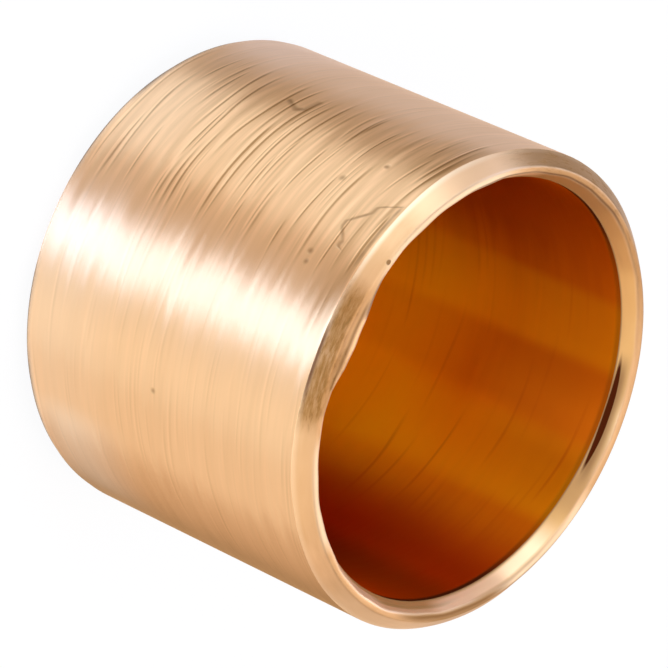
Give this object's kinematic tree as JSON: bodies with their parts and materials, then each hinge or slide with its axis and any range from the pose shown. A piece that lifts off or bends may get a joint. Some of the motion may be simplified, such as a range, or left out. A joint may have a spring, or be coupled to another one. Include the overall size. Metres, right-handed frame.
{
  "type": "solder plug",
  "caption": "One-piece copper-alloy cup with a blind capillary socket and a bevelled mouth, soldered over the end of a tube to close it.",
  "frame": {"origin": "centre of the closed end's outer face, on the surface that the plug stands on", "axes": "+Z along the socket's axis, out of its mouth; X and Y are any two directions across it, as the part is round"},
  "size_m": [0.0172, 0.0172, 0.014],
  "materials": {
    "brushed_copper_alloy": "brushed"
  },
  "bodies": {
    "root": {"plug_body": "brushed_copper_alloy"}
  },
  "joints": []
}
